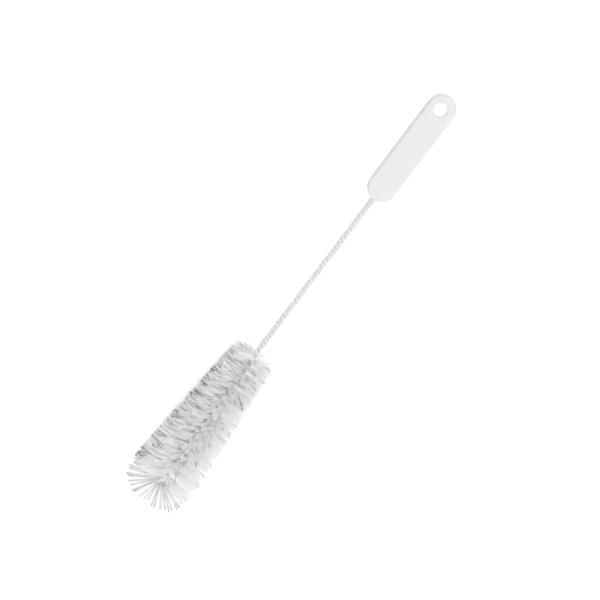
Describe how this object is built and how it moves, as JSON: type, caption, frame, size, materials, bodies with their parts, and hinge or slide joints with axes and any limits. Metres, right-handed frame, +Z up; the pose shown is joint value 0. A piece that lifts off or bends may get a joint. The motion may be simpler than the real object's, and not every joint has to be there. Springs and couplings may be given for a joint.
{
  "type": "bottle brush",
  "caption": "Long-handled bottle brush: a tapered spiral of bristles in a twisted wire, with a flat round-ended handle and a hanging hole.",
  "frame": {"origin": "on the floor under the middle of the whole length, as the brush lies at rest", "axes": "+X runs along the brush from its tip to its handle, +Z is up"},
  "size_m": [0.3952, 0.0586, 0.0592],
  "materials": {
    "handle_plastic": "satin white moulded plastic",
    "coated_wire": "glossy white plastic coat",
    "bristle_nylon": "natural white nylon filament"
  },
  "bodies": {
    "root": {"handle": "handle_plastic", "twisted_wire": "coated_wire", "bristles": "bristle_nylon", "tip_bristles": "bristle_nylon"}
  },
  "joints": []
}
